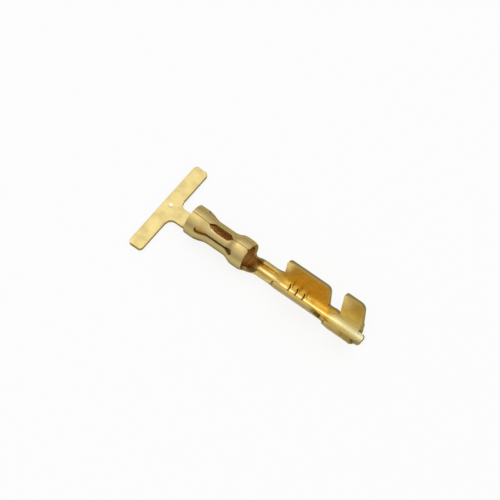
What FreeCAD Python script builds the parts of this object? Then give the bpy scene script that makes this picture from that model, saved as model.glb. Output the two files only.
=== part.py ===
"""Crimp socket contact, stamped and rolled from one strip of brass 0.25 mm thick.

The contact lies along +X with its crimp wings up. The origin is the centre of the
socket's mouth, on the bore axis. In front of the mouth a flat tab still joins the
contact to the piece of carrier strip that it was cut off with.
"""
import FreeCAD
import Part
import math
import os

# Sheet and carrier strip, in millimetres
THICKNESS = 0.25
CARRIER_PITCH = 6.35
CARRIER_WIDTH = 0.93
CARRIER_CORNER = 0.22
TAB_LENGTH = 1.36
TAB_WIDTH = 0.96
TAB_FILLET = 0.42
TAB_ROLL = 0.45
TAB_FOOT_FILLET = 0.28
DIMPLE_RADIUS = 0.16
DIMPLE_DEPTH = 0.04
DIMPLE_OFFSET = 0.20

# Socket barrel: mouth ring, waist that grips the pin, rear ring
MOUTH_OUTER_RADIUS = 0.945
PIN_RADIUS = 0.51
GRIP_BITE = 0.02
REAR_OUTER_RADIUS = 0.945
REAR_EDGE_RADIUS = 0.88
MOUTH_LAND = 0.50
NECKING_LENGTH = 1.10
WAIST_LENGTH = 1.05
REOPENING_LENGTH = 0.82
REAR_LAND = 0.33
REAR_ROUNDING_LENGTH = 0.27
LEAD_IN = 0.06
SEAM_GAP = 0.03
SEAM_NOTCH = 0.13

# Slots that part the spring beams of the barrel
BEAM_COUNT = 7
SLOT_FRONT_INSET = 0.12
SLOT_REAR_INSET = 0.12
SLOT_WAIST_WIDTH = 0.084
SLOT_END_WIDTH = 0.31
SEAM_SLOT_FRONT_REACH = 0.43
SEAM_SLOT_REAR_REACH = 0.35
SEAM_SLOT_WIDTH = 0.41
SEAM_SLOT_POINT = 0.34

# Neck between the barrel and the crimps
THROAT_LENGTH = 0.83
THROAT_TOP = 1.30
THROAT_NOTCH_HEIGHT = 0.36
THROAT_NOTCH_RADIUS = 0.25
NECK_OUTER_RADIUS = 0.52
NECK_LIFT = 0.14
NECK_WALL_HEIGHT = 0.79
NECK_WALL_BLEND = 0.40
NECK_END = 5.75

# Conductor crimp
CONDUCTOR_START = 6.37
CONDUCTOR_LENGTH = 3.22
CONDUCTOR_OUTER_RADIUS = 0.50
CONDUCTOR_WING_HEIGHT = 1.89
SERRATION_COUNT = 3
SERRATION_FIRST = 0.53
SERRATION_PITCH = 0.49
SERRATION_WIDTH = 0.10
SERRATION_DEPTH = 0.05
SERRATION_SPAN = 0.56

# Insulation crimp and the cut-off tail behind it
CRIMP_GAP = 0.74
GAP_FRONT_HEIGHT = 0.70
GAP_REAR_HEIGHT = 0.42
INSULATION_LENGTH = 1.54
INSULATION_OUTER_RADIUS = 0.81
INSULATION_WING_HEIGHT = 1.97
INSULATION_FRONT_CORNER = 0.18
INSULATION_REAR_CORNER = 0.42
TAIL_LENGTH = 0.42
TAIL_WIDTH = 0.70
TAIL_CORNER = 0.18
TAIL_FILLET = 0.15
TAIL_FOOT_HEIGHT = 0.66

# Wing outline, seen from the side
WING_LEAN = 20.0
CONDUCTOR_FRONT_TAPER = -0.04
INSULATION_FRONT_TAPER = -0.07
WING_REAR_TAPER = 0.19
WING_FRONT_CORNER = 0.25
WING_REAR_CORNER = 0.38
WING_ROOT_FILLET = 0.10

# How finely the changes of section are lofted, and the wall left for trimming
LOFT_STEPS = 6
TRIM_MARGIN = 0.25
EDGE_STRAIGHT = 0.02
SAME_POINT = 1e-6

HALF = THICKNESS / 2
FLOOR = -MOUTH_OUTER_RADIUS
WAIST_OUTER_RADIUS = PIN_RADIUS - GRIP_BITE + THICKNESS
WAIST_START = MOUTH_LAND + NECKING_LENGTH
WAIST_END = WAIST_START + WAIST_LENGTH
REAR_LAND_START = WAIST_END + REOPENING_LENGTH
REAR_LAND_END = REAR_LAND_START + REAR_LAND
BARREL_LENGTH = REAR_LAND_END + REAR_ROUNDING_LENGTH
SLOT_START = MOUTH_LAND + SLOT_FRONT_INSET
SLOT_END = REAR_LAND_START - SLOT_REAR_INSET
SEAM_SLOT_START = WAIST_START - SEAM_SLOT_FRONT_REACH
SEAM_SLOT_END = WAIST_END + SEAM_SLOT_REAR_REACH
NECK_START = BARREL_LENGTH + THROAT_LENGTH
CONDUCTOR_END = CONDUCTOR_START + CONDUCTOR_LENGTH
INSULATION_START = CONDUCTOR_END + CRIMP_GAP
INSULATION_END = INSULATION_START + INSULATION_LENGTH
CONTACT_END = INSULATION_END + TAIL_LENGTH
LEAN = math.radians(WING_LEAN)
X_AXIS = FreeCAD.Vector(1, 0, 0)
Y_AXIS = FreeCAD.Vector(0, 1, 0)
Z_AXIS = FreeCAD.Vector(0, 0, 1)
ORIGIN = FreeCAD.Vector(0, 0, 0)


def smooth(share):
    """Ease from 0 to 1 with level ends."""
    share = min(1.0, max(0.0, share))
    return share * share * (3 - 2 * share)


def between(low, high, share):
    """Value at that share of the way from low to high."""
    return low + (high - low) * share


def line(first, last):
    """Straight edge."""
    return Part.LineSegment(first, last).toShape()


def arc(first, middle, last):
    """Round edge through three points."""
    return Part.Arc(first, middle, last).toShape()


def s_bend(start, end, offset=0.0):
    """Two equal tangent arcs from start to end, level at both, moved off their line by offset."""
    run = end[0] - start[0]
    rise = end[1] - start[1]
    side = math.copysign(1.0, rise)
    bend_radius = (run ** 2 + rise ** 2) / (4 * abs(rise))
    turn = 2 * math.atan2(abs(rise), run)
    edges = []
    for x, r, way in ((start[0], start[1], 1), (end[0], end[1], -1)):
        centre_r = r + way * side * bend_radius
        reach = bend_radius - way * side * offset
        points = []
        for share in (0.0, 0.5, 1.0):
            angle = turn * share
            points.append(FreeCAD.Vector(
                x + way * reach * math.sin(angle), 0,
                centre_r - way * side * reach * math.cos(angle)))
        if way < 0:
            points.reverse()
        edges.append(arc(*points))
    return edges


def barrel_side(offset):
    """Edges of the barrel wall from mouth to rear, off the sheet's middle by offset."""
    mouth = MOUTH_OUTER_RADIUS - HALF
    waist = WAIST_OUTER_RADIUS - HALF
    rear = REAR_OUTER_RADIUS - HALF
    edge = REAR_EDGE_RADIUS - HALF
    edges = [line(FreeCAD.Vector(0, 0, mouth + offset),
                  FreeCAD.Vector(MOUTH_LAND, 0, mouth + offset))]
    edges += s_bend((MOUTH_LAND, mouth), (WAIST_START, waist), offset)
    edges.append(line(FreeCAD.Vector(WAIST_START, 0, waist + offset),
                      FreeCAD.Vector(WAIST_END, 0, waist + offset)))
    edges += s_bend((WAIST_END, waist), (REAR_LAND_START, rear), offset)
    edges.append(line(FreeCAD.Vector(REAR_LAND_START, 0, rear + offset),
                      FreeCAD.Vector(REAR_LAND_END, 0, rear + offset)))
    run = REAR_ROUNDING_LENGTH
    drop = rear - edge
    bend_radius = (run ** 2 + drop ** 2) / (2 * drop)
    reach = bend_radius + offset
    points = []
    for share in (0.0, 0.5, 1.0):
        angle = math.asin(run / reach) * share
        points.append(FreeCAD.Vector(
            REAR_LAND_END + reach * math.sin(angle), 0,
            rear - bend_radius + reach * math.cos(angle)))
    edges.append(arc(*points))
    return edges


def barrel_shell():
    """Closed hourglass tube, with the mouth's lead-in."""
    outer = barrel_side(HALF)
    inner = barrel_side(-HALF)
    caps = [line(outer[0].Vertexes[0].Point, inner[0].Vertexes[0].Point),
            line(outer[-1].Vertexes[1].Point, inner[-1].Vertexes[1].Point)]
    wire = Part.Wire(Part.__sortEdges__(outer + inner + caps))
    shell = Part.Face(wire).revolve(ORIGIN, X_AXIS, 360)
    mouth_inner = MOUTH_OUTER_RADIUS - THICKNESS
    cone = Part.makeCone(mouth_inner + LEAD_IN, mouth_inner, LEAD_IN * 2, ORIGIN, X_AXIS)
    return shell.cut(cone)


def radial_tool(wire_points, angle):
    """Prism that cuts outwards through the barrel wall at that angle about X, from +Y."""
    face = Part.Face(Part.makePolygon(wire_points + wire_points[:1]))
    return turned(face.extrude(Z_AXIS * (2 * MOUTH_OUTER_RADIUS)), angle)


def turned(shape, angle):
    """Shape that was made over +Z, turned about X so that it lies at angle from +Y."""
    copy = shape.copy()
    copy.rotate(ORIGIN, X_AXIS, angle - 90)
    return copy


def beam_slot():
    """Punched slot between two beams; forming the waist has drawn its middle narrow."""
    narrow = SLOT_WAIST_WIDTH / 2
    wide = SLOT_END_WIDTH / 2
    front = s_bend((SLOT_START + wide, wide), (WAIST_START, narrow))
    back = s_bend((WAIST_END, narrow), (SLOT_END - wide, wide))
    middle = line(front[-1].Vertexes[1].Point, back[0].Vertexes[0].Point)
    upper = front + [middle] + back
    lower = [edge.mirror(ORIGIN, Z_AXIS) for edge in upper]
    ends = []
    for x, tip in ((SLOT_START + wide, SLOT_START), (SLOT_END - wide, SLOT_END)):
        ends.append(arc(FreeCAD.Vector(x, 0, wide), FreeCAD.Vector(tip, 0, 0),
                        FreeCAD.Vector(x, 0, -wide)))
    face = Part.Face(Part.Wire(Part.__sortEdges__(upper + lower + ends)))
    face.rotate(ORIGIN, X_AXIS, 90)
    return face.extrude(Z_AXIS * (2 * MOUTH_OUTER_RADIUS))


def seam_slot():
    """Long opening with pointed ends where both edges of the sheet are cut back."""
    half = SEAM_SLOT_WIDTH / 2
    shoulder = SEAM_SLOT_START + SEAM_SLOT_POINT
    back = SEAM_SLOT_END - SEAM_SLOT_POINT
    corners = [(SEAM_SLOT_START, 0), (shoulder, half), (back, half),
               (SEAM_SLOT_END, 0), (back, -half), (shoulder, -half)]
    return radial_tool([FreeCAD.Vector(x, y, 0) for x, y in corners], 90)


def seam():
    """Slit where the rolled edges meet, with the sheet's corners nipped off at the rear."""
    slit = Part.makeBox(BARREL_LENGTH + 2 * TRIM_MARGIN, SEAM_GAP, 2 * MOUTH_OUTER_RADIUS,
                        FreeCAD.Vector(-TRIM_MARGIN, -SEAM_GAP / 2, 0))
    tip = BARREL_LENGTH - SEAM_NOTCH
    notch = radial_tool([FreeCAD.Vector(tip, 0, 0),
                         FreeCAD.Vector(BARREL_LENGTH + SEAM_NOTCH, 2 * SEAM_NOTCH, 0),
                         FreeCAD.Vector(BARREL_LENGTH + SEAM_NOTCH, -2 * SEAM_NOTCH, 0)], 90)
    return slit.fuse(notch)


def barrel():
    """Hourglass barrel with its seam and the slots between its beams."""
    shape = barrel_shell().cut(seam()).cut(seam_slot())
    slot = beam_slot()
    for k in range(1, BEAM_COUNT):
        shape = shape.cut(turned(slot, 90 + k * 360 / BEAM_COUNT))
    return shape


def side_of(centre, radius, bend, straight, x):
    """Points along one face of the sheet: tip, bend's start, lowest, bend's end, tip."""
    points = []
    for side in (-1, 1):
        y = radius * math.sin(bend)
        z = centre - radius * math.cos(bend)
        foot = FreeCAD.Vector(x, side * y, z)
        rise = FreeCAD.Vector(0, side * math.cos(bend), math.sin(bend)) * straight
        points.append((foot + rise, foot))
    low = FreeCAD.Vector(x, 0, centre - radius)
    return [points[0][0], points[0][1], low, points[1][1], points[1][0]]


def section(x, bottom, outer_radius, bend, straight):
    """Closed outline of the formed sheet across X.

    The sheet follows an arc from its lowest point up to the angle bend, then runs
    straight for the length given on each side.
    """
    centre = bottom + outer_radius
    out = side_of(centre, outer_radius, bend, straight, x)
    inn = side_of(centre, outer_radius - THICKNESS, bend, straight, x)
    if straight <= 0:
        return Part.Wire([arc(out[0], out[2], out[4]), line(out[4], inn[4]),
                          arc(inn[4], inn[2], inn[0]), line(inn[0], out[0])])
    return Part.Wire([
        line(out[0], out[1]), arc(out[1], out[2], out[3]), line(out[3], out[4]),
        line(out[4], inn[4]),
        line(inn[4], inn[3]), arc(inn[3], inn[2], inn[1]), line(inn[1], inn[0]),
        line(inn[0], out[0])])


def run_of(first, last):
    """Solid between two stations, straight where they are alike and lofted where not."""
    if first[1:] == last[1:]:
        return Part.Face(section(*first)).extrude(X_AXIS * (last[0] - first[0]))
    wires = []
    for k in range(LOFT_STEPS + 1):
        share = k / LOFT_STEPS
        values = [between(a, b, smooth(share)) for a, b in zip(first[1:], last[1:])]
        wires.append(section(between(first[0], last[0], share), *values))
    return Part.makeLoft(wires, True, False)


def wing_straight(outer_radius, height):
    """Length of the straight part of a leaning wing whose tip stands at that height."""
    middle_radius = outer_radius - HALF
    return (height - outer_radius + middle_radius * math.sin(LEAN)) / math.cos(LEAN)


def channel_runs():
    """Solids of the open channel behind the barrel, with walls still to be trimmed."""
    upright = math.pi / 2
    leaning = math.pi / 2 - LEAN
    neck_bottom = FLOOR + NECK_LIFT
    neck_straight = NECK_WALL_HEIGHT - NECK_LIFT - NECK_OUTER_RADIUS + TRIM_MARGIN
    throat = (-REAR_EDGE_RADIUS, REAR_EDGE_RADIUS, upright + LEAN, EDGE_STRAIGHT)
    neck = (neck_bottom, NECK_OUTER_RADIUS, upright, neck_straight)
    conductor = (FLOOR, CONDUCTOR_OUTER_RADIUS, leaning,
                 wing_straight(CONDUCTOR_OUTER_RADIUS, CONDUCTOR_WING_HEIGHT))
    insulation = (FLOOR, INSULATION_OUTER_RADIUS, leaning,
                  wing_straight(INSULATION_OUTER_RADIUS, INSULATION_WING_HEIGHT))
    stations = [(BARREL_LENGTH,) + throat, (NECK_START,) + neck, (NECK_END,) + neck,
                (CONDUCTOR_START,) + conductor, (CONDUCTOR_END,) + conductor,
                (INSULATION_START,) + insulation, (CONTACT_END,) + insulation]
    return [run_of(first, last) for first, last in zip(stations, stations[1:])]


def rounded(points):
    """Closed face in the XZ plane through (x, z, radius) corners, each rounded by its radius."""
    corners = [FreeCAD.Vector(x, 0, z) for x, z, _ in points]
    count = len(points)
    spans = []
    for k in range(count):
        here = corners[k]
        back = (corners[k - 1] - here).normalize()
        ahead = (corners[(k + 1) % count] - here).normalize()
        radius = points[k][2]
        half_angle = back.getAngle(ahead) / 2
        cut = radius / math.tan(half_angle)
        inwards = (back + ahead).normalize()
        middle = here + inwards * (radius / math.sin(half_angle) - radius)
        spans.append((here + back * cut, middle, here + ahead * cut))
    edges = []
    for k in range(count):
        start, middle, end = spans[k]
        if points[k][2] > 0:
            edges.append(arc(start, middle, end))
        following = spans[(k + 1) % count][0]
        if end.distanceToPoint(following) > SAME_POINT:
            edges.append(line(end, following))
    return Part.Face(Part.Wire(edges))


def side_trim():
    """Block whose side view is what the sheared edges leave of the walls."""
    tip_rise = HALF * math.sin(LEAN)
    conductor_top = FLOOR + CONDUCTOR_WING_HEIGHT + tip_rise
    insulation_top = FLOOR + INSULATION_WING_HEIGHT + tip_rise
    neck_top = FLOOR + NECK_WALL_HEIGHT
    throat_top = FLOOR + THROAT_TOP
    below = FLOOR - THICKNESS
    front = WING_FRONT_CORNER
    rear = WING_REAR_CORNER
    root = WING_ROOT_FILLET
    outline = [
        (BARREL_LENGTH - TRIM_MARGIN, below, 0),
        (BARREL_LENGTH - TRIM_MARGIN, throat_top, 0),
        (BARREL_LENGTH, throat_top, 0),
        (BARREL_LENGTH, FLOOR + THROAT_NOTCH_HEIGHT, THROAT_NOTCH_RADIUS),
        (NECK_START, neck_top, NECK_WALL_BLEND),
        (CONDUCTOR_START, neck_top, root),
        (CONDUCTOR_START + CONDUCTOR_FRONT_TAPER, conductor_top, front),
        (CONDUCTOR_END - WING_REAR_TAPER, conductor_top, rear),
        (CONDUCTOR_END, FLOOR + GAP_FRONT_HEIGHT, root),
        (INSULATION_START, FLOOR + GAP_REAR_HEIGHT, root),
        (INSULATION_START + INSULATION_FRONT_TAPER, insulation_top, INSULATION_FRONT_CORNER),
        (INSULATION_END - WING_REAR_TAPER, insulation_top, INSULATION_REAR_CORNER),
        (INSULATION_END, FLOOR + TAIL_FOOT_HEIGHT, root),
        (INSULATION_END, below, 0),
    ]
    return prism_across(rounded(outline))


def prism_across(face):
    """Block with that side view, wide enough for the widest wings."""
    width = 4 * INSULATION_WING_HEIGHT
    block = face.extrude(Y_AXIS * width)
    block.translate(Y_AXIS * (-width / 2))
    return block


def tail_trim():
    """Upright block whose plan is the cut-off tail, filleted at the wings' rear edges."""
    half = TAIL_WIDTH / 2
    wide = half + TAIL_FILLET
    start = INSULATION_END
    outline = [
        (start - TAIL_FILLET, wide, 0), (start, wide, 0), (start, half, TAIL_FILLET),
        (CONTACT_END, half, TAIL_CORNER), (CONTACT_END, -half, TAIL_CORNER),
        (start, -half, TAIL_FILLET), (start, -wide, 0), (start - TAIL_FILLET, -wide, 0),
    ]
    return plate(outline, FLOOR, TAIL_FOOT_HEIGHT)


def plate(outline, bottom, height):
    """Flat plate from a plan of (x, y, radius) corners."""
    face = rounded(outline)
    face.rotate(ORIGIN, X_AXIS, -90)
    block = face.extrude(Z_AXIS * height)
    block.translate(Z_AXIS * bottom)
    return block


def serrations():
    """Cross grooves coined into the floor of the conductor crimp."""
    centre = FLOOR + CONDUCTOR_OUTER_RADIUS
    radius = CONDUCTOR_OUTER_RADIUS - THICKNESS + SERRATION_DEPTH
    grooves = []
    for k in range(SERRATION_COUNT):
        x = CONDUCTOR_START + SERRATION_FIRST + k * SERRATION_PITCH - SERRATION_WIDTH / 2
        rod = Part.makeCylinder(radius, SERRATION_WIDTH, FreeCAD.Vector(x, 0, centre), X_AXIS)
        bar = Part.makeBox(SERRATION_WIDTH, SERRATION_SPAN, radius,
                           FreeCAD.Vector(x, -SERRATION_SPAN / 2, centre - radius))
        grooves.append(rod.common(bar))
    return grooves


def channel():
    """Neck, both crimps and the tail, trimmed to the blank's outline."""
    keep = side_trim()
    tail = tail_trim()
    runs = channel_runs()
    last = runs[-1]
    pieces = [run.common(keep) for run in runs]
    pieces.append(last.common(tail))
    shape = pieces[0].fuse(pieces[1:])
    for groove in serrations():
        shape = shape.cut(groove)
    return shape


def tab():
    """End of the tab that rolls into the bottom of the barrel and widens to meet it."""
    flat_radius = CARRIER_PITCH ** 2 / MOUTH_OUTER_RADIUS
    half = TAB_WIDTH / 2
    wires = []
    for k in range(LOFT_STEPS + 1):
        share = k / LOFT_STEPS
        curvature = between(1 / flat_radius, 1 / MOUTH_OUTER_RADIUS, smooth(share))
        x = between(-TAB_ROLL, 0, share)
        wires.append(section(x, FLOOR, 1 / curvature, MOUTH_OUTER_RADIUS * curvature, 0))
    wide = half + TAB_FOOT_FILLET
    outline = [
        (-TAB_ROLL, half, 0), (0, half, TAB_FOOT_FILLET), (0, wide, 0),
        (TAB_ROLL, wide, 0), (TAB_ROLL, -wide, 0),
        (0, -wide, 0), (0, -half, TAB_FOOT_FILLET), (-TAB_ROLL, -half, 0),
    ]
    return Part.makeLoft(wires, True, False).common(plate(outline, FLOOR, MOUTH_OUTER_RADIUS))


def carrier():
    """Piece of carrier strip with the root of the tab, filleted into each other."""
    back = -TAB_LENGTH
    front = back - CARRIER_WIDTH
    long_half = CARRIER_PITCH / 2
    tab_half = TAB_WIDTH / 2
    outline = [
        (front, -long_half, CARRIER_CORNER), (front, long_half, CARRIER_CORNER),
        (back, long_half, CARRIER_CORNER), (back, tab_half, TAB_FILLET),
        (-TAB_ROLL, tab_half, 0), (-TAB_ROLL, -tab_half, 0),
        (back, -tab_half, TAB_FILLET), (back, -long_half, CARRIER_CORNER),
    ]
    strip = plate(outline, FLOOR, THICKNESS)
    ball_radius = (DIMPLE_RADIUS ** 2 + DIMPLE_DEPTH ** 2) / (2 * DIMPLE_DEPTH)
    ball = Part.makeSphere(ball_radius, FreeCAD.Vector(
        front + CARRIER_WIDTH / 2, DIMPLE_OFFSET,
        FLOOR + THICKNESS - DIMPLE_DEPTH + ball_radius))
    return strip.cut(ball)


def socket_contact():
    """The whole stamping as one solid."""
    shape = barrel().fuse([channel(), tab(), carrier()])
    return shape.removeSplitter()


def main():
    """Build the contact and write its STEP file."""
    os.makedirs("parts", exist_ok=True)
    shape = socket_contact()
    print("solids", len(shape.Solids), "valid", shape.isValid(), "volume", round(shape.Volume, 4))
    print("box", shape.BoundBox)
    shape.exportStep("parts/socket_contact.step")


main()
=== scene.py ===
"""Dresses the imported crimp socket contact: stamped sheet, finish, floor, lights and camera.

The contact is built as its press tools make it. Flat patches of sheet are added, placed on
the middle of the formed metal, sewn together, thickened and broken at the sheared edges.
Sizes are in millimetres while it is shaped, and in metres from then on.
"""

import logging
import math
from dataclasses import dataclass, field
from enum import Enum
from typing import Callable

import bmesh
import bpy
from mathutils import Matrix, Vector

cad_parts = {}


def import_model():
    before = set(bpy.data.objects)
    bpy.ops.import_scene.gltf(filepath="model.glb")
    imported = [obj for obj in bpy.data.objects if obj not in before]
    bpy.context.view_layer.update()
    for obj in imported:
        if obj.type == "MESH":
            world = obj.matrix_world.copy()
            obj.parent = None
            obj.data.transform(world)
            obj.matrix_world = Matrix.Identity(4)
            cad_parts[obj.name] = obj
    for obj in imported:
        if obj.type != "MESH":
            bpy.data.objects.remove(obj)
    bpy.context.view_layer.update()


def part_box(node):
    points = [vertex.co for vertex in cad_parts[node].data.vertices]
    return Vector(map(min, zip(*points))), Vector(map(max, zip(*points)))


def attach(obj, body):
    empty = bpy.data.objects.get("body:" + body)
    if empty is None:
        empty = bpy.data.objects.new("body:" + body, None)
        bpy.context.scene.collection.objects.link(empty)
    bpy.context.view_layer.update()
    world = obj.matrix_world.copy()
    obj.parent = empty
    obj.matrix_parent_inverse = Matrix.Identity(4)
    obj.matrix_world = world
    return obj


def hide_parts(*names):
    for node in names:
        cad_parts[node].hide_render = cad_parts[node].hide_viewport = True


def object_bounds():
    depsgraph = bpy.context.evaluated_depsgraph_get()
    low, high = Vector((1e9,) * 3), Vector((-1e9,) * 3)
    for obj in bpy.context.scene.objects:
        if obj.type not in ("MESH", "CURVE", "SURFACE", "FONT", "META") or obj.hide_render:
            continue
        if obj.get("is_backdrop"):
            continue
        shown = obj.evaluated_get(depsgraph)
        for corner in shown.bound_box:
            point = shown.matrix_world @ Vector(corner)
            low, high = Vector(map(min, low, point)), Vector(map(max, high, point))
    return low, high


LOG = logging.getLogger("socket_contact")
METRES = 0.001

Point = tuple[float, float, float]
Surface = Callable[[int, int], Point]


class Side(Enum):
    """The two sides of the contact, seen from the mouth with the wings up."""

    LEFT = 1
    RIGHT = -1


class Mark(Enum):
    """What was done to a face of the sheet, or the painted shade or highlight it gets, as its
    mark's value.
    """

    # Inner faces of the bore, which get painted shade.
    INNER = -2.0
    # Faces that get a painted highlight: the small mark and the nipped corners.
    PAINTED_HIGHLIGHT = -1.0
    ROLLED = 0.0
    SHEARED = 1.0
    # Faces of the pressed grooves, which get painted shade.
    PAINTED_GROOVE_SHADE = 2.0


class Part(Enum):
    """Names of the bodies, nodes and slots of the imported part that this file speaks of."""

    BODY = "root"
    NODE = "socket_contact"
    SLOT = "plated_brass"


def between(low: float, high: float, share: float) -> float:
    """Value at that share of the way from low to high."""
    return low + (high - low) * share


def ease(share: float) -> float:
    """Ease from 0 to 1 with level ends."""
    share = min(1.0, max(0.0, share))
    return share * share * (3 - 2 * share)


def arc_drop(radius: float, along: float) -> float:
    """How far an arc has left its tangent line, that far along the line."""
    return radius - math.sqrt(max(0.0, radius**2 - along**2))


def bend(start: tuple[float, float], end: tuple[float, float], x: float) -> float:
    """Height at x on the two equal tangent arcs that join two level runs.

    Args:
        start: place and height where the bend leaves the first level.
        end: place and height where it meets the second.
        x: place asked for.

    Returns:
        The height there, held level outside the bend.
    """
    run = end[0] - start[0]
    rise = end[1] - start[1]
    radius = (run**2 + rise**2) / (4 * abs(rise))
    sign = math.copysign(1.0, rise)
    if x <= start[0]:
        return start[1]
    if x >= end[0]:
        return end[1]
    if x < start[0] + run / 2:
        return start[1] + sign * arc_drop(radius, x - start[0])
    return end[1] - sign * arc_drop(radius, end[0] - x)


def stations(marks: list[float], spacing: float) -> list[float]:
    """Fill the spans between marks evenly.

    Args:
        marks: places that each get a row of their own, in order.
        spacing: the widest step allowed.

    Returns:
        The marks with even steps between them.
    """
    places = [marks[0]]
    for low, high in zip(marks, marks[1:]):
        steps = max(1, math.ceil((high - low) / spacing - 1e-6))
        places += [between(low, high, k / steps) for k in range(1, steps + 1)]
    return places


def clear_selection() -> None:
    """Leave edit mode with nothing selected."""
    if bpy.context.object is not None and bpy.context.object.mode != "OBJECT":
        bpy.ops.object.mode_set(mode="OBJECT")
    bpy.ops.object.select_all(action="DESELECT")


def pick(piece: bpy.types.Object) -> None:
    """Make one piece the only selected and active one.

    Args:
        piece: the piece to be worked on.
    """
    clear_selection()
    piece.select_set(True)
    bpy.context.view_layer.objects.active = piece


def patch(name: str, rows: int, columns: int, surface: Surface) -> bpy.types.Object:
    """Cut a patch of sheet and lay it on the formed metal.

    Args:
        name: the patch's name.
        rows: how many lines of points it has along the contact.
        columns: how many lines of points it has across the sheet.
        surface: gives the place of the point at a row and column.

    Returns:
        The patch, still a single skin.
    """
    clear_selection()
    bpy.ops.mesh.primitive_grid_add(
        x_subdivisions=columns - 1, y_subdivisions=rows - 1, size=1, location=(0, 0, 0)
    )
    piece = bpy.context.object
    piece.name = name
    for vertex in piece.data.vertices:
        column = round((vertex.co.x + 0.5) * (columns - 1))
        row = round((vertex.co.y + 0.5) * (rows - 1))
        vertex.co = surface(row, column)
    return piece


def sew(pieces: list[bpy.types.Object], name: str, gap: float) -> bpy.types.Object:
    """Join patches into one skin where their edges meet.

    Args:
        pieces: the patches.
        name: name of the joined skin.
        gap: points nearer than this become one.

    Returns:
        The joined skin with all its faces turned alike.
    """
    clear_selection()
    for piece in pieces:
        piece.select_set(True)
    bpy.context.view_layer.objects.active = pieces[0]
    bpy.ops.object.join()
    skin = bpy.context.object
    skin.name = name
    skin.data.name = name
    bpy.ops.object.mode_set(mode="EDIT")
    bpy.ops.mesh.select_all(action="SELECT")
    bpy.ops.mesh.remove_doubles(threshold=gap)
    bpy.ops.mesh.normals_make_consistent(inside=False)
    bpy.ops.object.mode_set(mode="OBJECT")
    return skin


def apply_modifier(piece: bpy.types.Object, kind: str, **settings: object) -> None:
    """Add a modifier, set it and apply it.

    Args:
        piece: the piece it works on.
        kind: the modifier's type.
        settings: its values by name.
    """
    pick(piece)
    modifier = piece.modifiers.new(kind.title(), kind)
    for key, value in settings.items():
        setattr(modifier, key, value)
    bpy.ops.object.modifier_apply(modifier=modifier.name)


@dataclass(frozen=True)
class Sheet:
    """The brass strip that everything is stamped from.

    The step is the widest between rows of points, and the play is how far a point may lie
    from a face and still count as on it.
    """

    thickness: float = 0.25
    edge_break: float = 0.013
    floor: float = -0.945
    step: float = 0.09
    play: float = 0.02

    @property
    def half(self) -> float:
        """Half the thickness."""
        return self.thickness / 2


@dataclass(frozen=True)
class Section:
    """The formed sheet across the contact: an arc, then straight walls.

    Sizes are of the sheet's outer face, and low is that face's lowest height.
    """

    low: float
    radius: float
    turn: float
    half: float

    def at(self, x: float, along: float) -> Point:
        """Place on the sheet's middle at x, that far along the sheet from the floor's centre.

        Args:
            x: place along the contact.
            along: distance in the sheet from the floor's centre, below 0 on the right.

        Returns:
            The point.
        """
        middle = self.radius - self.half
        side = math.copysign(1.0, along)
        angle = min(abs(along) / middle, self.turn)
        straight = max(0.0, abs(along) - middle * self.turn)
        y = middle * math.sin(angle) + straight * math.cos(self.turn)
        z = self.low + self.radius - middle * math.cos(angle) + straight * math.sin(self.turn)
        return (x, side * y, z)

    def along_for(self, height: float) -> float:
        """Distance in the sheet from the floor's centre up to a height of its middle.

        Args:
            height: the height asked for.

        Returns:
            The distance.
        """
        middle = self.radius - self.half
        top_of_arc = self.low + self.radius - middle * math.cos(self.turn)
        if height > top_of_arc:
            return middle * self.turn + (height - top_of_arc) / math.sin(self.turn)
        cosine = (self.low + self.radius - height) / middle
        return middle * math.acos(min(1.0, max(-1.0, cosine)))


def blend(first: Section, last: Section, share: float) -> Section:
    """Section part of the way through a change of form.

    Args:
        first: the section that the change starts from.
        last: the section that it ends with.
        share: how far it has come, from 0 to 1.

    Returns:
        The section there.
    """
    share = ease(share)
    return Section(
        between(first.low, last.low, share),
        between(first.radius, last.radius, share),
        between(first.turn, last.turn, share),
        first.half,
    )


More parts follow.
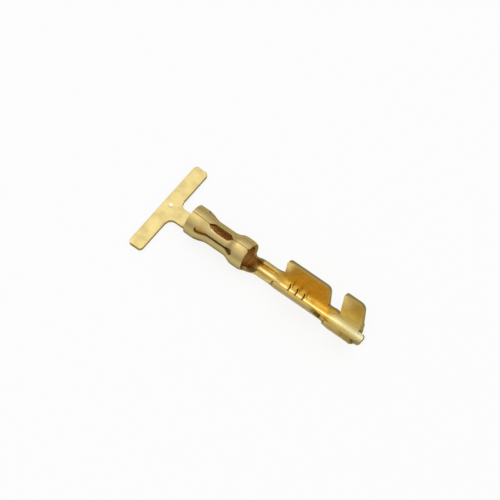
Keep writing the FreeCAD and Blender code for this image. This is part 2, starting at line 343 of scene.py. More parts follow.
@dataclass
class Barrel:
    """Hourglass socket of spring beams between a mouth ring and a rear ring."""

    sheet: Sheet
    mouth: float = 0.945
    waist: float = 0.74
    rear: float = 0.945
    edge: float = 0.88
    mouth_land: float = 0.50
    waist_start: float = 1.60
    waist_end: float = 2.65
    rear_start: float = 3.47
    rear_end: float = 3.80
    length: float = 4.07
    beams: int = 7
    columns: int = 8
    slot_start: float = 0.62
    slot_end: float = 3.35
    slot_width: float = 0.31
    slot_waist: float = 0.084
    seam_gap: float = 0.0034
    seam_start: float = 1.17
    seam_end: float = 3.00
    seam_width: float = 0.41
    seam_point: float = 0.34
    notch: float = 0.13
    notch_slope: float = 0.9
    notch_lip: float = 0.03
    slot_steps: tuple[float, ...] = (0.0, 0.08, 0.26, 0.60, 1.0)
    rows: list[float] = field(default_factory=list)

    def __post_init__(self) -> None:
        """Place the rows of points so that each slot's end and shoulder has one."""
        wide = self.slot_width / 2
        marks = [0.0, self.mouth_land]
        marks += [self.slot_start + wide * share for share in self.slot_steps]
        marks += [self.seam_start, self.seam_start + self.seam_point, self.waist_start]
        marks += [self.waist_end, self.seam_end]
        marks += [self.slot_end - wide * share for share in reversed(self.slot_steps)]
        marks += [self.rear_end, self.length - self.notch]
        marks += [self.length - self.notch / 3, self.length]
        self.rows = stations(marks, self.sheet.step)

    @property
    def column_turn(self) -> float:
        """Angle round the bore from one line of points to the next."""
        return 2 * math.pi / (self.beams * self.columns)

    def middle(self, x: float) -> float:
        """Radius of the sheet's middle at x.

        Args:
            x: place along the contact.

        Returns:
            The radius, on the arcs that join the rings and the waist.
        """
        half = self.sheet.half
        if x <= self.waist_end:
            return bend((self.mouth_land, self.mouth), (self.waist_start, self.waist), x) - half
        if x <= self.rear_end:
            return bend((self.waist_end, self.waist), (self.rear_start, self.rear), x) - half
        run = self.length - self.rear_end
        drop = self.rear - self.edge
        radius = (run**2 + drop**2) / (2 * drop)
        return self.rear - arc_drop(radius, x - self.rear_end) - half

    def slot_half(self, x: float) -> float:
        """Half the width of a slot between two beams at x.

        Args:
            x: place along the contact.

        Returns:
            The half width, 0 beyond the slot's ends.
        """
        if not self.slot_start < x < self.slot_end:
            return 0.0
        wide = self.slot_width / 2
        narrow = self.slot_waist / 2
        front = self.slot_start + wide
        back = self.slot_end - wide
        if x < front:
            return math.sqrt(wide**2 - (front - x) ** 2)
        if x > back:
            return math.sqrt(wide**2 - (x - back) ** 2)
        if x < self.waist_end:
            return bend((front, wide), (self.waist_start, narrow), x)
        return bend((self.waist_end, narrow), (back, wide), x)

    def seam_half(self, x: float) -> float:
        """Half the width of the opening between the rolled edges at x.

        Args:
            x: place along the contact.

        Returns:
            The half width, down to half the seam's gap where the edges butt.
        """
        gap = self.seam_gap / 2
        nip = max(0.0, x - (self.length - self.notch)) * self.notch_slope
        if not self.seam_start < x < self.seam_end:
            return gap + nip
        reach = min(x - self.seam_start, self.seam_end - x) / self.seam_point
        return max(gap, self.seam_width / 2 * min(1.0, reach))

    def beam(self, index: int) -> bpy.types.Object:
        """One beam, from the slot or seam on one side of it to that on the other.

        Args:
            index: the beam's number, counted round the bore from the seam.

        Returns:
            The beam's patch of sheet.
        """
        pitch = 2 * math.pi / self.beams
        start = math.pi / 2 + index * pitch

        def place(row: int, column: int) -> Point:
            """Point of the beam's skin.

            Args:
                row: which line of points along the contact.
                column: which line of points across the sheet.

            Returns:
                The point.
            """
            x = self.rows[row]
            radius = self.middle(x)
            first = self.seam_half(x) if index == 0 else self.slot_half(x)
            last = self.seam_half(x) if index == self.beams - 1 else self.slot_half(x)
            low = start + math.asin(first / radius)
            high = start + pitch - math.asin(last / radius)
            angle = between(low, high, column / self.columns)
            return (x, radius * math.cos(angle), radius * math.sin(angle))

        return patch(f"beam_{index}", len(self.rows), self.columns + 1, place)

    def on_seam(self, spot: Vector) -> bool:
        """Whether a point lies where the two rolled edges butt.

        Args:
            spot: the point.

        Returns:
            True for points of the closed seam.
        """
        if self.seam_start < spot.x < self.seam_end or spot.x >= self.length - self.notch:
            return False
        return spot.z > 0 and abs(spot.y) < self.seam_gap

    def on_notch(self, spot: Vector) -> bool:
        """Whether a point lies on the nipped corners at the seam's rear end."""
        behind = spot.x > self.length - self.notch - self.notch_lip
        return behind and spot.z > 0 and abs(spot.y) < 2 * self.notch

    def inside(self, spot: Vector) -> bool:
        """Whether a point of the skin lies on the bore's face of the barrel.

        Args:
            spot: the point.

        Returns:
            True for points of the inner face.
        """
        if not 0 < spot.x < self.length:
            return False
        return math.hypot(spot.y, spot.z) < self.middle(spot.x) - self.sheet.half / 2

    def build(self) -> list[bpy.types.Object]:
        """All the beams in turn round the bore."""
        return [self.beam(index) for index in range(self.beams)]


@dataclass
class Carrier:
    """Cut-off piece of carrier strip and the tab that joins it to the mouth."""

    sheet: Sheet
    barrel: Barrel
    pitch: float = 6.35
    width: float = 0.93
    corner: float = 0.22
    tab_length: float = 1.36
    tab_width: float = 0.96
    tab_fillet: float = 0.42
    roll: float = 0.45
    foot: float = 0.28
    foot_columns: int = 10
    dimple_radius: float = 0.16
    dimple_depth: float = 0.04
    dimple_side: float = 0.20
    dimple_patch: float = 1.7
    dimple_core: float = 0.9
    dimple_bowl: float = 1.5
    flat: float = 1e-3
    arm_step: float = 0.16
    arm_rows: int = 9
    fillet_steps: tuple[float, ...] = (0.06, 0.16)
    foot_steps: tuple[float, ...] = (0.07, 0.02)
    corner_steps: tuple[float, ...] = (1.0, 0.62, 0.32, 0.12, 0.02)

    @property
    def level(self) -> float:
        """Height of the flat sheet's middle."""
        return self.sheet.floor + self.sheet.half

    def half_width(self, x: float) -> float:
        """Half the tab's width at x, with its fillets at both ends.

        Args:
            x: place along the contact.

        Returns:
            The half width.
        """
        half = self.tab_width / 2
        into_strip = x + self.tab_length
        if into_strip < self.tab_fillet:
            return half + arc_drop(self.tab_fillet, self.tab_fillet - into_strip)
        if x > -self.foot:
            share = (x + self.foot) / self.foot
            return half + (self.foot_reach() - half) * arc_drop(1.0, share)
        return half

    def foot_reach(self) -> float:
        """Side distance of the outermost point that the tab shares with the mouth ring."""
        return self.barrel.middle(0.0) * math.sin(self.foot_columns * self.barrel.column_turn)

    def tab(self) -> bpy.types.Object:
        """The tab: flat at the strip, rolled to the ring's curve at the mouth.

        Returns:
            The tab's patch of sheet.
        """
        ring = self.barrel.middle(0.0)
        turn = self.foot_columns * self.barrel.column_turn
        start = -self.tab_length
        marks = [start] + [start + reach for reach in self.fillet_steps]
        marks += [start + self.tab_fillet, -self.roll, -self.foot]
        marks += [-reach for reach in self.foot_steps] + [0.0]
        rows = stations(marks, self.sheet.step)
        count = 2 * self.foot_columns

        def place(row: int, column: int) -> Point:
            """Point of the tab's skin.

            Args:
                row: which line of points along the contact.
                column: which line of points across the sheet.

            Returns:
                The point.
            """
            x = rows[row]
            across = 2 * column / count - 1
            half = self.half_width(x)
            share = ease((x + self.roll) / self.roll)
            if share <= 0:
                return (x, half * across, self.level)
            flat_y = half * across
            round_y = ring * math.sin(across * turn) * half / self.foot_reach()
            y = between(flat_y, round_y, share)
            radius = ring / share
            return (x, y, self.level + arc_drop(radius, y))

        return patch("tab", len(rows), count + 1, place)

    def strip(self) -> bpy.types.Object:
        """The crossbar with its rounded corners.

        Returns:
            The crossbar's patch of sheet.
        """
        reach = self.pitch / 2
        joint = self.tab_width / 2 + self.tab_fillet
        corner = [reach - self.corner * share for share in self.corner_steps]
        arm = stations([joint] + corner + [reach], self.arm_step)
        spans = 2 * self.foot_columns
        middle = [joint * (2 * k / spans - 1) for k in range(spans + 1)]
        across = [-y for y in reversed(arm[1:])] + middle + arm[1:]
        front = -self.tab_length - self.width

        def place(row: int, column: int) -> Point:
            """Point of the crossbar's skin.

            Args:
                row: which line of points along the contact.
                column: which line of points across the sheet.

            Returns:
                The point.
            """
            y = across[column]
            cut = arc_drop(self.corner, max(0.0, abs(y) - (reach - self.corner)))
            x = between(front + cut, -self.tab_length - cut, row / (self.arm_rows - 1))
            return (x, y, self.level)

        return patch("strip", self.arm_rows, len(across), place)

    def press_dimple(self, skin: bpy.types.Object) -> None:
        """Sink the small mark into the top of the crossbar.

        Args:
            skin: the thickened contact.
        """
        top = self.sheet.floor + self.sheet.thickness
        pick(skin)
        bpy.ops.object.mode_set(mode="EDIT")
        bpy.ops.mesh.select_all(action="DESELECT")
        shape = bmesh.from_edit_mesh(skin.data)
        for face in shape.faces:
            middle = face.calc_center_median()
            near = self.from_dimple(middle) < self.dimple_radius * self.dimple_patch
            face.select = near and abs(middle.z - top) < self.flat
        shape.select_flush_mode()
        bmesh.update_edit_mesh(skin.data)
        bpy.ops.mesh.subdivide(number_cuts=3, quadcorner="INNERVERT")
        shape = bmesh.from_edit_mesh(skin.data)
        for vertex in shape.verts:
            share = self.from_dimple(vertex.co) / self.dimple_radius
            if share < 1 and abs(vertex.co.z - top) < self.flat:
                vertex.co.z -= self.dimple_depth * (1 - share**2) ** self.dimple_bowl
        bmesh.update_edit_mesh(skin.data)
        bpy.ops.object.mode_set(mode="OBJECT")

    def from_dimple(self, spot: Vector) -> float:
        """Distance from the small mark's centre, seen from above."""
        return math.hypot(spot.x + self.tab_length + self.width / 2, spot.y - self.dimple_side)

    def in_dimple(self, spot: Vector) -> bool:
        """Whether a point lies well inside the small mark."""
        near = self.from_dimple(spot) < self.dimple_radius * self.dimple_core
        return near and spot.z > self.sheet.floor + self.sheet.half

    def build(self) -> list[bpy.types.Object]:
        """The crossbar and the tab."""
        return [self.strip(), self.tab()]


@dataclass
class Wing:
    """One crimp wing: a leaning flap with its free corners rounded."""

    name: str
    section: Section
    foot: list[tuple[float, float]]
    height: float
    front_taper: float
    rear_taper: float
    front_corner: float
    rear_corner: float
    front_steps: int
    rear_steps: int
    rows: int = 12

    def outline(self) -> list[tuple[float, float]]:
        """Places and distances in the sheet along the free top edge, corner arcs included.

        Returns:
            One point above each point of the wing's foot, from front to rear.
        """
        top = self.section.along_for(self.height)
        first = (self.foot[0][0] + self.front_taper, top)
        last = (self.foot[-1][0] - self.rear_taper, top)
        front = self.arc(first, self.foot[0], (1.0, 0.0), self.front_corner, self.front_steps)
        rear = self.arc(last, self.foot[-1], (-1.0, 0.0), self.rear_corner, self.rear_steps)
        rear.reverse()
        count = len(self.foot) - len(front) - len(rear)
        between_arcs = [
            (between(front[-1][0], rear[0][0], (k + 1) / (count + 1)), top) for k in range(count)
        ]
        return front + between_arcs + rear

    @staticmethod
    def arc(
        corner: tuple[float, float],
        foot: tuple[float, float],
        inward: tuple[float, float],
        radius: float,
        steps: int,
    ) -> list[tuple[float, float]]:
        """Points of a rounded corner, from the wing's side edge to its top edge.

        Args:
            corner: the sharp corner that is rounded.
            foot: where the side edge starts.
            inward: direction along the top edge, away from the corner.
            radius: the rounding.
            steps: how many spans the arc gets.

        Returns:
            The points from the side edge to the top edge.
        """
        tip = Vector(corner)
        down = (Vector(foot) - tip).normalized()
        along = Vector(inward)
        half_angle = down.angle(along) / 2
        centre = tip + (down + along).normalized() * (radius / math.sin(half_angle))
        start = tip + down * (radius / math.tan(half_angle)) - centre
        turn = math.pi - 2 * half_angle
        sign = math.copysign(1.0, start.x * along.y - start.y * along.x)
        if (tip - centre).dot(Matrix.Rotation(sign * turn / 2, 2) @ start) < 0:
            sign = -sign
        points = []
        for k in range(steps + 1):
            swing = Matrix.Rotation(sign * turn * k / steps, 2) @ start + centre
            points.append((swing.x, swing.y))
        return points

    def build(self, side: Side) -> bpy.types.Object:
        """Lay the wing on its side of the channel.

        Args:
            side: the side of the contact that it stands on.

        Returns:
            The wing's patch of sheet.
        """
        top = self.outline()
        foot = self.foot
        last = len(foot) - 1

        def place(row: int, column: int) -> Point:
            """Point of the wing's skin, by blending its four edges.

            Args:
                row: which line of points up the wing.
                column: which line of points along its foot.

            Returns:
                The point.
            """
            u = column / last
            v = row / self.rows
            low, high = foot[column], top[column]
            left = [between(foot[0][k], top[0][k], v) for k in (0, 1)]
            right = [between(foot[last][k], top[last][k], v) for k in (0, 1)]
            spot = []
            for k in (0, 1):
                edges = between(low[k], high[k], v) + between(left[k], right[k], u)
                bottom = between(foot[0][k], foot[last][k], u)
                above = between(top[0][k], top[last][k], u)
                spot.append(edges - between(bottom, above, v))
            return self.section.at(spot[0], side.value * spot[1])

        return patch(f"{self.name}_{side.name.lower()}", self.rows + 1, len(foot), place)


@dataclass
class Channel:
    """Open channel behind the barrel: throat, neck, both crimps and the cut-off tail."""

    sheet: Sheet
    barrel: Barrel
    ring_columns: int = 9
    throat_length: float = 0.83
    throat_rise: float = 0.1
    rim_curve: float = 0.16
    rim_step: float = 0.05
    notch_height: float = 0.43
    neck_radius: float = 0.52
    neck_lift: float = 0.14
    neck_wall: float = 0.79
    neck_end: float = 5.75
    conductor_start: float = 6.37
    conductor_length: float = 3.22
    conductor_radius: float = 0.50
    conductor_height: float = 1.89
    gap: float = 0.74
    gap_front: float = 0.70
    gap_rear: float = 0.42
    insulation_length: float = 1.54
    insulation_radius: float = 0.81
    insulation_height: float = 1.97
    foot_height: float = 0.66
    tail_length: float = 0.42
    tail_width: float = 0.70
    tail_corner: float = 0.18
    tail_fillet: float = 0.15
    lean: float = math.radians(20.0)
    rear_taper: float = 0.19
    conductor_taper: float = -0.04
    insulation_taper: float = -0.07
    conductor_corners: tuple[float, float] = (0.25, 0.38)
    insulation_corners: tuple[float, float] = (0.18, 0.42)
    front_steps: int = 5
    rear_steps: int = 6
    serrations: int = 3
    serration_first: float = 0.58
    serration_pitch: float = 0.51
    serration_width: float = 0.085
    serration_depth: float = 0.075
    serration_floor: float = 0.4
    serration_pressed: float = 0.9
    serration_marked: float = 0.95
    serration_height: float = -0.42
    wing_step: float = 0.16
    gap_step: float = 0.075
    fillet_steps: tuple[float, ...] = (0.0, 0.035, 0.08)
    tail_steps: tuple[float, ...] = (1.0, 0.6, 0.3, 0.1)

    @property
    def neck_start(self) -> float:
        """Where the throat ends."""
        return self.barrel.length + self.throat_length

    @property
    def conductor_end(self) -> float:
        """Rear foot of the conductor wings."""
        return self.conductor_start + self.conductor_length

    @property
    def insulation_start(self) -> float:
        """Front foot of the insulation wings."""
        return self.conductor_end + self.gap

    @property
    def insulation_end(self) -> float:
        """Rear foot of the insulation wings."""
        return self.insulation_start + self.insulation_length

    @property
    def end(self) -> float:
        """The tail's end."""
        return self.insulation_end + self.tail_length

    def forms(self) -> list[tuple[float, Section]]:
        """The sections that the channel passes through, and where.

        Returns:
            Each place with the section that stands there, in order.
        """
        half = self.sheet.half
        floor = self.sheet.floor
        edge = self.barrel.edge
        upright = math.pi / 2
        leaning = upright - self.lean
        neck = Section(floor + self.neck_lift, self.neck_radius, upright, half)
        conductor = Section(floor, self.conductor_radius, leaning, half)
        insulation = Section(floor, self.insulation_radius, leaning, half)
        return [
            (self.barrel.length, Section(-edge, edge, upright + self.lean, half)),
            (self.neck_start, neck),
            (self.neck_end, neck),
            (self.conductor_start, conductor),
            (self.conductor_end, conductor),
            (self.insulation_start, insulation),
            (self.end, insulation),
        ]

    def section(self, x: float) -> Section:
        """The formed sheet's section at x.

        Args:
            x: place along the contact.

        Returns:
            The section, part of the way from one form to the next.
        """
        forms = self.forms()
        for (low, first), (high, last) in zip(forms, forms[1:]):
            if x <= high:
                return blend(first, last, (x - low) / (high - low))
        return forms[-1][1]

    def wall(self, x: float) -> float:
        """Height above the floor of the side walls' edge at x, between the wings.

        Args:
            x: place along the contact.

        Returns:
            The height, up to the sheet's middle.
        """
        start = self.barrel.length
        ring = self.barrel.middle(start)
        rim = -ring * math.cos(self.ring_columns * self.barrel.column_turn) - self.sheet.floor
        low = start + self.rim_curve
        high = self.neck_start + self.throat_rise
        if x < low:
            share = (low - x) / (low - start)
            return self.notch_height + (rim - self.notch_height) * share**2
        if x < high:
            share = (x - low) / (high - low)
            return between(self.notch_height, self.neck_wall, ease(share))
        if x <= self.conductor_start:
            return self.neck_wall
        if x < self.conductor_end:
            share = (x - self.conductor_start) / self.conductor_length
            return between(self.neck_wall, self.gap_front, share)
        if x < self.insulation_start:
            share = (x - self.conductor_end) / self.gap
            return between(self.gap_front, self.gap_rear, share)
        share = (x - self.insulation_start) / self.insulation_length
        return between(self.gap_rear, self.foot_height, share)

    def reach(self, x: float) -> float:
        """Distance in the sheet from the floor's centre to the base's edge at x.

        Args:
            x: place along the contact.

        Returns:
            The distance, to the wall's edge or the tail's.
        """
        section = self.section(x)
        if x <= self.insulation_end:
            return section.along_for(self.sheet.floor + self.wall(x))
        middle = section.radius - section.half
        half = self.tail_width / 2
        behind = x - self.insulation_end
        if behind < self.tail_fillet:
            half += arc_drop(self.tail_fillet, self.tail_fillet - behind)
        half -= arc_drop(self.tail_corner, max(0.0, self.tail_corner - (self.end - x)))
        return middle * math.asin(half / middle)

    def wing_rows(self, start: float, end: float) -> list[float]:
        """Rows under a wing: close together below its rounded corners.

        Args:
            start: the wing's front foot.
            end: its rear foot.

        Returns:
            The rows' places, in order.
        """
        reach = self.conductor_corners
        front = [start + reach[0] * k / self.front_steps for k in range(self.front_steps + 1)]
        rear = [end - reach[1] * k / self.rear_steps for k in range(self.rear_steps, -1, -1)]
        grooves = []
        if start == self.conductor_start:
            for k in range(self.serrations):
                centre = start + self.serration_first + k * self.serration_pitch
                wide = self.serration_width / 2
                floor = wide * self.serration_floor
                grooves += [centre - wide, centre - floor, centre + floor, centre + wide]
        return front + stations([front[-1]] + grooves + [rear[0]], self.wing_step)[1:] + rear[1:]

    def rows(self) -> list[float]:
        """Rows of points from the rear ring to the tail's end.

        Returns:
            The rows' places, in order.
        """
        start = self.barrel.length
        marks = [start, start + self.rim_step, start + self.rim_curve]
        marks += [self.neck_start, self.neck_end, self.conductor_start]
        places = stations(marks, self.sheet.step)
        places += self.wing_rows(self.conductor_start, self.conductor_end)[1:]
        places += stations([self.conductor_end, self.insulation_start], self.gap_step)[1:]
        places += self.wing_rows(self.insulation_start, self.insulation_end)[1:]
        start = self.insulation_end
        marks = [start + reach for reach in self.fillet_steps] + [start + self.tail_fillet]
        marks += [self.end - self.tail_corner * share for share in self.tail_steps] + [self.end]
        return places + stations(marks, self.sheet.step)[1:]

    def base(self) -> bpy.types.Object:
        """The channel up to the feet of its wings.

        Returns:
            The base's patch of sheet.
        """
        rows = self.rows()
        count = 2 * self.ring_columns

        def place(row: int, column: int) -> Point:
            """Point of the channel's skin."""
            x = rows[row]
            return self.section(x).at(x, self.reach(x) * (2 * column / count - 1))

        return patch("channel", len(rows), count + 1, place)

    def wings(self) -> list[Wing]:
        """The conductor's and the insulation's wings, for one side.

        Returns:
            The two wings, which build then lays on either side.
        """
        found = []
        for name, start, end, height, taper, corners in (
            (
                "conductor_wing", self.conductor_start, self.conductor_end,
                self.conductor_height, self.conductor_taper, self.conductor_corners,
            ),
            (
                "insulation_wing", self.insulation_start, self.insulation_end,
                self.insulation_height, self.insulation_taper, self.insulation_corners,
            ),
        ):
            foot = [(x, self.reach(x)) for x in self.wing_rows(start, end)]
            found.append(
                Wing(
                    name, self.section(end), foot, self.sheet.floor + height,
                    taper, self.rear_taper, corners[0], corners[1],
                    self.front_steps, self.rear_steps,
                )
            )
        return found

    def in_groove(self, spot: Vector, reach: float) -> bool:
        """Whether a point of the sheet lies in one of the coined cross grooves.

        Args:
            spot: the point.
            reach: how far from a groove's centre it may be, as a share of half the width.

        Returns:
            True for points of the inner face within that reach.
        """
        section = self.section(self.conductor_end)
        spoke = Vector((0, spot.y, spot.z - section.low - section.radius))
        if spot.z > self.serration_height or spoke.length > section.radius - self.sheet.play:
            return False
        for k in range(self.serrations):
            centre = self.conductor_start + self.serration_first + k * self.serration_pitch
            if abs(spot.x - centre) < reach * self.serration_width / 2:
                return True
        return False

    def coin_serrations(self, skin: bpy.types.Object) -> None:
        """Press the cross grooves into the inner floor of the conductor crimp.

        Args:
            skin: the thickened contact.
        """
        section = self.section(self.conductor_end)
        centre_z = section.low + section.radius
        above = section.low + self.sheet.half
        for vertex in skin.data.vertices:
            if self.in_groove(vertex.co, self.serration_pressed) and vertex.co.z > above:
                spoke = Vector((0, vertex.co.y, vertex.co.z - centre_z))
                if abs(spoke.length - section.radius + self.sheet.thickness) < self.sheet.play:
                    vertex.co += spoke.normalized() * self.serration_depth

    def build(self) -> list[bpy.types.Object]:
        """The channel's base and its four wings.

        Returns:
            The patches of sheet, base first.
        """
        pieces = [self.base()]
        for wing in self.wings():
            pieces += [wing.build(side) for side in Side]
        return pieces


@dataclass
class NodeBench:
    """Short ways to set out a material's nodes."""

    tree: bpy.types.NodeTree

    def feed(self, socket: bpy.types.NodeSocket, value: object) -> None:
        """Link a socket to another, or set its value.

        Args:
            socket: the input that is fed.
            value: another node's output, or a plain value.
        """
        if isinstance(value, bpy.types.NodeSocket):
            self.tree.links.new(value, socket)
        else:
            socket.default_value = value

    def node(self, kind: str, **values: object) -> bpy.types.Node:
        """Add a node and set its inputs.

        Args:
            kind: the node's type.
            values: inputs by name, with underscores for spaces. A socket is linked, the rest set.

        Returns:
            The node.
        """
        node = self.tree.nodes.new(kind)
        for name, value in values.items():
            self.feed(node.inputs[name.replace("_", " ")], value)
        return node

    def noise(self, size: float, detail: float, stretch: Point) -> bpy.types.NodeSocket:
        """Noise on the object's own coordinates.

        Args:
            size: rough size of its marks, in metres.
            detail: how many finer layers it has.
            stretch: how much the marks are squeezed along X, Y and Z.

        Returns:
            The noise's value.
        """
        place = self.node("ShaderNodeTexCoord")
        mapping = self.node("ShaderNodeMapping", Vector=place.outputs["Object"], Scale=stretch)
        texture = self.node(
            "ShaderNodeTexNoise", Vector=mapping.outputs["Vector"], Scale=1 / size, Detail=detail
        )
        return texture.outputs["Fac"]

    def spread(
        self,
        value: bpy.types.NodeSocket,
        low: float,
        high: float,
        first: float = 0.0,
        last: float = 1.0,
    ) -> bpy.types.NodeSocket:
        """Move a value from the range low to high to the range first to last.

        Args:
            value: the value to move.
            low: where the result is first.
            high: where the result is last.
            first: the result at low and before it.
            last: the result at high and beyond it.

        Returns:
            The moved value.
        """
        node = self.node("ShaderNodeMapRange", Value=value)
        node.inputs["From Min"].default_value = low
        node.inputs["From Max"].default_value = high
        node.inputs["To Min"].default_value = first
        node.inputs["To Max"].default_value = last
        return node.outputs["Result"]

    def blend(self, share: object, first: object, second: object) -> bpy.types.NodeSocket:
        """Mix two colours by a share from 0 to 1.

        Args:
            share: how much there is of the second colour.
            first: the first colour, or a socket that gives it.
            second: the second colour, or a socket that gives it.

        Returns:
            The mixed colour.
        """
        node = self.tree.nodes.new("ShaderNodeMix")
        node.data_type = "RGBA"
        for name, value in (("Factor", share), ("A", first), ("B", second)):
            self.feed(node.inputs[name], value)
        return node.outputs["Result"]

    def math(self, work: str, first: object, second: object) -> bpy.types.NodeSocket:
        """Work out a number from two others.

        Args:
            work: the kind of sum.
            first: the first number, or a socket that gives it.
            second: the second number, or a socket that gives it.

        Returns:
            The result.
        """
        node = self.tree.nodes.new("ShaderNodeMath")
        node.operation = work
        for socket, value in zip(node.inputs, (first, second)):
            self.feed(socket, value)
        return node.outputs["Value"]

    def along(self, axis: str) -> bpy.types.NodeSocket:
        """The object's own coordinate along X, Y or Z, in metres.

        Args:
            axis: X, Y or Z.

        Returns:
            The coordinate.
        """
        place = self.node("ShaderNodeTexCoord")
        parts = self.node("ShaderNodeSeparateXYZ", Vector=place.outputs["Object"])
        return parts.outputs[axis]


Colour = tuple[float, float, float, float]


@dataclass(frozen=True)
class Shades:
    """Colours of thin gold plating on brass, and of the painted shade and highlights on it, as
    linear light.
    """

    gold: Colour = (0.86, 0.67, 0.27, 1.0)
    orange: Colour = (0.84, 0.60, 0.19, 1.0)
    matte: Colour = (0.66, 0.50, 0.20, 1.0)
    # Painted shade: darker olive on the barrel's lower flank, standing in for the shade that falls
    # there.
    painted_flank_shade: Colour = (0.34, 0.31, 0.16, 1.0)
    # Painted shade: darker, deeper orange on the inner faces of the bore and throat, standing in
    # for shade and light bounced inside.
    inside: Colour = (0.74, 0.44, 0.11, 1.0)
    flash: Colour = (0.78, 0.63, 0.27, 1.0)
    olive: Colour = (0.52, 0.43, 0.18, 1.0)
    crimp: Colour = (0.80, 0.62, 0.23, 1.0)
    # Partly painted reflection: paler cream low at the rear, the cut-off tail's own paler metal
    # spread forward to stand in for the bright surroundings mirrored there.
    tail: Colour = (0.70, 0.63, 0.36, 1.0)
    sheared: Colour = (0.44, 0.32, 0.11, 1.0)
    # Painted shade: dark brown in the serration grooves, standing in for the shade inside them.
    painted_groove_shade: Colour = (0.30, 0.21, 0.07, 1.0)
    # Painted highlight: pale cream on the small mark in the crossbar and on the nipped corners at
    # the seam's rear end.
    painted_highlight: Colour = (1.0, 0.90, 0.62, 1.0)
    grazing: Colour = (0.42, 0.40, 0.32, 1.0)


Range = tuple[float, float]


@dataclass(frozen=True)
class Regions:
    """Where one shade gives way to the next, in metres: first none of it, then all of it.

    Sizes along the contact are from the mouth, and heights are from the bore's axis.
    """

    strip: Range = (0.0001, -0.0005)
    barrel: Range = (0.0043, 0.0041)
    # Painted shade on the barrel: the heights over which it goes darker towards the bottom.
    painted_flank_shade: Range = (0.00035, -0.0003)
    # Painted shade inside the throat: where along the contact, and out to what radius.
    throat: Range = (0.00404, 0.00408)
    throat_end: Range = (0.0056, 0.0043)
    throat_radius: Range = (0.00084, 0.00074)
    crimp: Range = (0.0096, 0.0106)
    # Pale tail, partly painted reflection: where along the contact and how low it reaches.
    tail: Range = (0.0098, 0.0116)
    tail_height: Range = (0.0, -0.0005)


